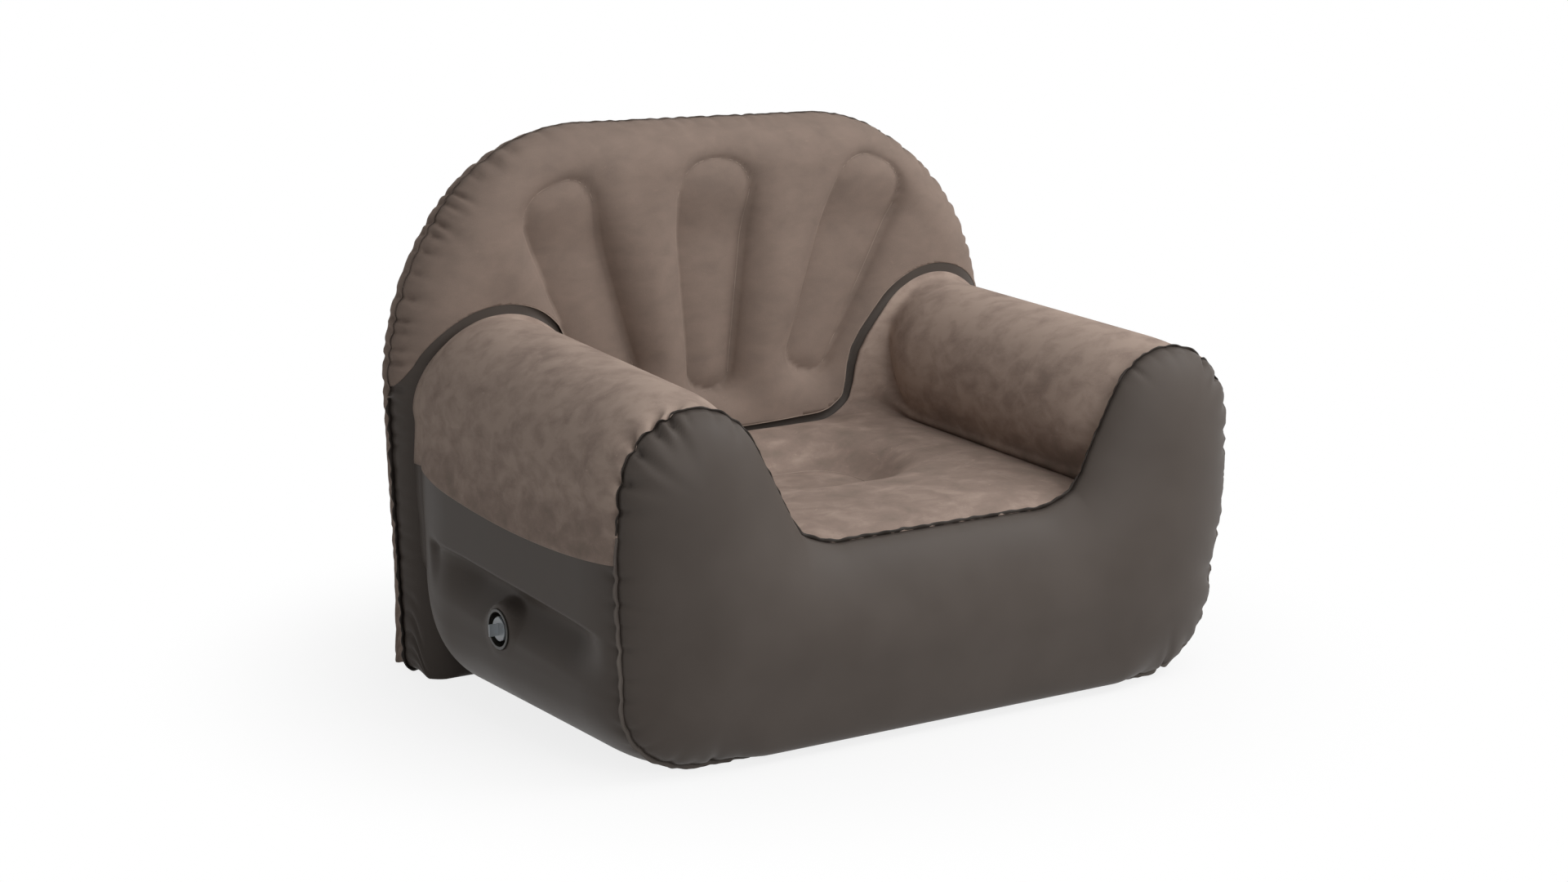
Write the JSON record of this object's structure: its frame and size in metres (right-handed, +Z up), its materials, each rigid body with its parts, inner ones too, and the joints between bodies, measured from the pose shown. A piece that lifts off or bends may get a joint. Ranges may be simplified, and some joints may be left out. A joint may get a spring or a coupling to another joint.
{
  "type": "inflatable armchair",
  "caption": "Inflated one-seat armchair with a flocked seat, arms and backrest, plain lower panels, inner beams and sleeves, and a screw-in valve with a hinged cap.",
  "frame": {"origin": "on the floor, under the middle of the base panel", "axes": "+Z up, the front faces -Y, the sitter's right is -X"},
  "size_m": [1.0768, 0.7874, 0.794],
  "materials": {
    "flocked_pvc": "flocked, suede-like",
    "plain_pvc": "satin",
    "inner_pvc": "satin",
    "valve_socket": "satin",
    "valve_clear": "translucent",
    "valve_seal": "matte"
  },
  "bodies": {
    "chair": {"front_panel": "plain_pvc", "backrest_flock_panel": "flocked_pvc", "backrest_lower_panel": "plain_pvc", "backrest_back_panel": "flocked_pvc", "seat_arm_flock_panel": "flocked_pvc", "left_side_panel": "plain_pvc", "right_side_panel": "plain_pvc", "base_panel": "plain_pvc", "left_arm_beam": "inner_pvc", "right_arm_beam": "inner_pvc", "backrest_middle_sleeve": "inner_pvc", "backrest_left_sleeve": "inner_pvc", "backrest_right_sleeve": "inner_pvc", "seat_tension_sleeve": "inner_pvc", "valve_flange": "valve_socket"},
    "insert_lift": {"valve_seal_ring": "valve_seal"},
    "insert": {"valve_insert": "valve_clear"},
    "cap": {"valve_cap": "valve_clear"},
    "flap": {"valve_check_flap": "valve_seal"}
  },
  "joints": [
    {"name": "insert_rise", "type": "slide", "parent": "chair", "child": "insert_lift", "axis": [-1, 0, 0], "range_m": [0, 0.006]},
    {"name": "insert_turn", "type": "hinge", "parent": "insert_lift", "child": "insert", "pos_m": [-0.529, -0.06, 0.143], "axis": [-1, 0, 0], "range_deg": [0, 720]},
    {"name": "cap_open", "type": "hinge", "parent": "insert", "child": "cap", "pos_m": [-0.52735, -0.06, 0.1607], "axis": [0, 1, 0], "range_deg": [0, 110]},
    {"name": "flap_open", "type": "hinge", "parent": "insert", "child": "flap", "pos_m": [-0.5017, -0.06, 0.1542], "axis": [0, -1, 0], "range_deg": [0, 60]}
  ],
  "couplings": [
    {"joint": "insert_rise", "follows": "insert_turn", "m_per_rad": 0.00047746}
  ]
}
